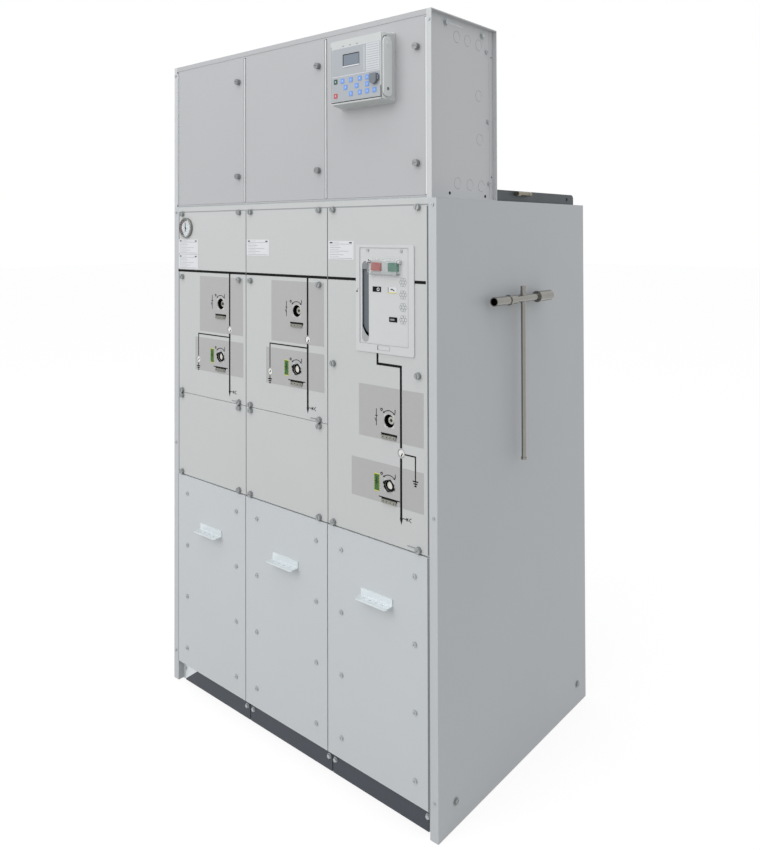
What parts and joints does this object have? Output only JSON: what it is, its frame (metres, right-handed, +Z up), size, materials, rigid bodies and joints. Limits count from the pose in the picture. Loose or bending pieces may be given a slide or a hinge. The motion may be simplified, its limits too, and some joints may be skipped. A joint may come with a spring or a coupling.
{
  "type": "gas-insulated switchgear",
  "caption": "Gas-insulated medium-voltage switchgear with switch bays, a breaker bay and a low-voltage compartment on top.",
  "frame": {"origin": "middle of the floor area that the whole object covers, at floor height", "axes": "+Z up, front towards -Y, the breaker bay and the operating lever towards +X"},
  "size_m": [1.064, 0.794, 1.904],
  "materials": {
    "front_paint": "satin light grey paint",
    "cover_paint": "satin light grey paint",
    "door_paint": "satin light grey paint",
    "side_paint": "satin light grey paint",
    "sill_steel": "dull galvanised",
    "sheet_steel": "galvanised",
    "tank_steel": "brushed stainless",
    "plate_steel": "dull",
    "handle_steel": "satin",
    "drive_grey": "matt dark grey",
    "socket_black": "matt black",
    "shaft_steel": "turned",
    "indicator_white": "matt white",
    "panel_grey": "moulded light grey",
    "drum_grey": "matt grey",
    "button_red": "gloss red",
    "button_green": "gloss green",
    "flap_clear": "clear plastic",
    "valve_brass": "turned",
    "gauge_grey": "turned",
    "lever_steel": "nickel plated",
    "lock_steel": "nickel plated",
    "relay_grey": "fine textured",
    "key_blue": "membrane",
    "port_grey": "matt"
  },
  "bodies": {
    "cabinet": {"base_rails": "sheet_steel", "rear_sill": "sheet_steel", "bay_partitions": "sheet_steel", "lv_stiles": "sheet_steel", "lv_floor": "sheet_steel", "lv_back": "sheet_steel", "rear_panel": "sheet_steel", "front_sills": "sill_steel", "side_panel_left": "side_paint", "side_panel_right": "side_paint", "lv_side_walls": "side_paint", "gas_tank": "tank_steel", "tank_lid": "tank_steel", "lifting_plates": "plate_steel", "gas_valve": "valve_brass", "top_rail": "front_paint", "front_plate_1": "front_paint", "front_plate_2": "front_paint", "front_plate_3": "front_paint", "lower_plate_1": "front_paint", "lower_plate_2": "front_paint", "cable_cover_1": "cover_paint", "cable_cover_2": "cover_paint", "cable_cover_3": "cover_paint", "cover_handles": "handle_steel", "drive_units": "drive_grey", "shaft_sockets": "socket_black", "padlock_tabs": "handle_steel", "pressure_gauge": "gauge_grey", "breaker_panel": "panel_grey", "charging_drum": "drum_grey", "lv_roof": "door_paint", "lv_hinge_pins": "shaft_steel", "operating_lever": "lever_steel", "lever_bracket": "sheet_steel"},
    "door_1": {"lv_door_1": "door_paint", "door_locks_1": "lock_steel"},
    "door_2": {"lv_door_2": "door_paint", "door_locks_2": "lock_steel"},
    "door_3": {"lv_door_3": "door_paint", "door_locks_3": "lock_steel", "relay_housing": "relay_grey", "relay_keys": "key_blue", "relay_port_cover": "port_grey"},
    "switch_drive_1": {"switch_shaft_1": "shaft_steel"},
    "earth_drive_1": {"earth_shaft_1": "shaft_steel"},
    "switch_drive_2": {"switch_shaft_2": "shaft_steel"},
    "earth_drive_2": {"earth_shaft_2": "shaft_steel"},
    "switch_drive_3": {"switch_shaft_3": "shaft_steel"},
    "earth_drive_3": {"earth_shaft_3": "shaft_steel"},
    "switch_sign_1": {"switch_indicator_1": "indicator_white"},
    "switch_sign_2": {"switch_indicator_2": "indicator_white"},
    "switch_sign_3": {"switch_indicator_3": "indicator_white"},
    "earth_sign_1": {"earth_indicator_1": "indicator_white"},
    "earth_sign_2": {"earth_indicator_2": "indicator_white"},
    "open_push": {"open_button": "button_red"},
    "close_push": {"close_button": "button_green"},
    "flap": {"button_flap": "flap_clear"}
  },
  "joints": [
    {"name": "door_1_hinge", "type": "hinge", "parent": "cabinet", "child": "door_1", "pos_m": [-0.507, -0.337, 1.68], "axis": [0, 0, -1], "range_deg": [0, 110]},
    {"name": "door_2_hinge", "type": "hinge", "parent": "cabinet", "child": "door_2", "pos_m": [-0.182, -0.337, 1.68], "axis": [0, 0, -1], "range_deg": [0, 110]},
    {"name": "door_3_hinge", "type": "hinge", "parent": "cabinet", "child": "door_3", "pos_m": [0.143, -0.337, 1.68], "axis": [0, 0, -1], "range_deg": [0, 110]},
    {"name": "switch_1_turn", "type": "hinge", "parent": "cabinet", "child": "switch_drive_1", "pos_m": [-0.2995, -0.313, 1.177], "axis": [0, 1, 0], "range_deg": [0, 90]},
    {"name": "earth_1_turn", "type": "hinge", "parent": "cabinet", "child": "earth_drive_1", "pos_m": [-0.2995, -0.313, 1.022], "axis": [0, 1, 0], "range_deg": [0, 90]},
    {"name": "switch_2_turn", "type": "hinge", "parent": "cabinet", "child": "switch_drive_2", "pos_m": [0.0255, -0.313, 1.177], "axis": [0, 1, 0], "range_deg": [0, 90]},
    {"name": "earth_2_turn", "type": "hinge", "parent": "cabinet", "child": "earth_drive_2", "pos_m": [0.0255, -0.313, 1.022], "axis": [0, 1, 0], "range_deg": [0, 90]},
    {"name": "switch_3_turn", "type": "hinge", "parent": "cabinet", "child": "switch_drive_3", "pos_m": [0.3465, -0.313, 0.934], "axis": [0, 1, 0], "range_deg": [0, 90]},
    {"name": "earth_3_turn", "type": "hinge", "parent": "cabinet", "child": "earth_drive_3", "pos_m": [0.3465, -0.313, 0.78], "axis": [0, 1, 0], "range_deg": [0, 90]},
    {"name": "switch_sign_1_turn", "type": "hinge", "parent": "cabinet", "child": "switch_sign_1", "pos_m": [-0.2575, -0.313, 1.104], "axis": [0, 1, 0], "range_deg": [0, 45]},
    {"name": "switch_sign_2_turn", "type": "hinge", "parent": "cabinet", "child": "switch_sign_2", "pos_m": [0.0675, -0.313, 1.104], "axis": [0, 1, 0], "range_deg": [0, 45]},
    {"name": "switch_sign_3_turn", "type": "hinge", "parent": "cabinet", "child": "switch_sign_3", "pos_m": [0.3835, -0.313, 0.864], "axis": [0, 1, 0], "range_deg": [0, 45]},
    {"name": "earth_sign_1_turn", "type": "hinge", "parent": "cabinet", "child": "earth_sign_1", "pos_m": [-0.4065, -0.313, 1.004], "axis": [0, 1, 0], "range_deg": [0, 45]},
    {"name": "earth_sign_2_turn", "type": "hinge", "parent": "cabinet", "child": "earth_sign_2", "pos_m": [-0.0815, -0.313, 1.004], "axis": [0, 1, 0], "range_deg": [0, 45]},
    {"name": "open_button_slide", "type": "slide", "parent": "cabinet", "child": "open_push", "axis": [0, 1, 0], "range_m": [0, 0.006], "stiffness_N_per_m": 800},
    {"name": "close_button_slide", "type": "slide", "parent": "cabinet", "child": "close_push", "axis": [0, 1, 0], "range_m": [0, 0.006], "stiffness_N_per_m": 800},
    {"name": "flap_hinge", "type": "hinge", "parent": "cabinet", "child": "flap", "pos_m": [0.3365, -0.3515, 1.315], "axis": [-1, 0, 0], "range_deg": [0, 95]}
  ],
  "couplings": [
    {"joint": "switch_sign_1_turn", "follows": "switch_1_turn", "ratio": 0.5},
    {"joint": "switch_sign_2_turn", "follows": "switch_2_turn", "ratio": 0.5},
    {"joint": "switch_sign_3_turn", "follows": "switch_3_turn", "ratio": 0.5},
    {"joint": "earth_sign_1_turn", "follows": "earth_1_turn", "ratio": 0.5},
    {"joint": "earth_sign_2_turn", "follows": "earth_2_turn", "ratio": 0.5}
  ]
}
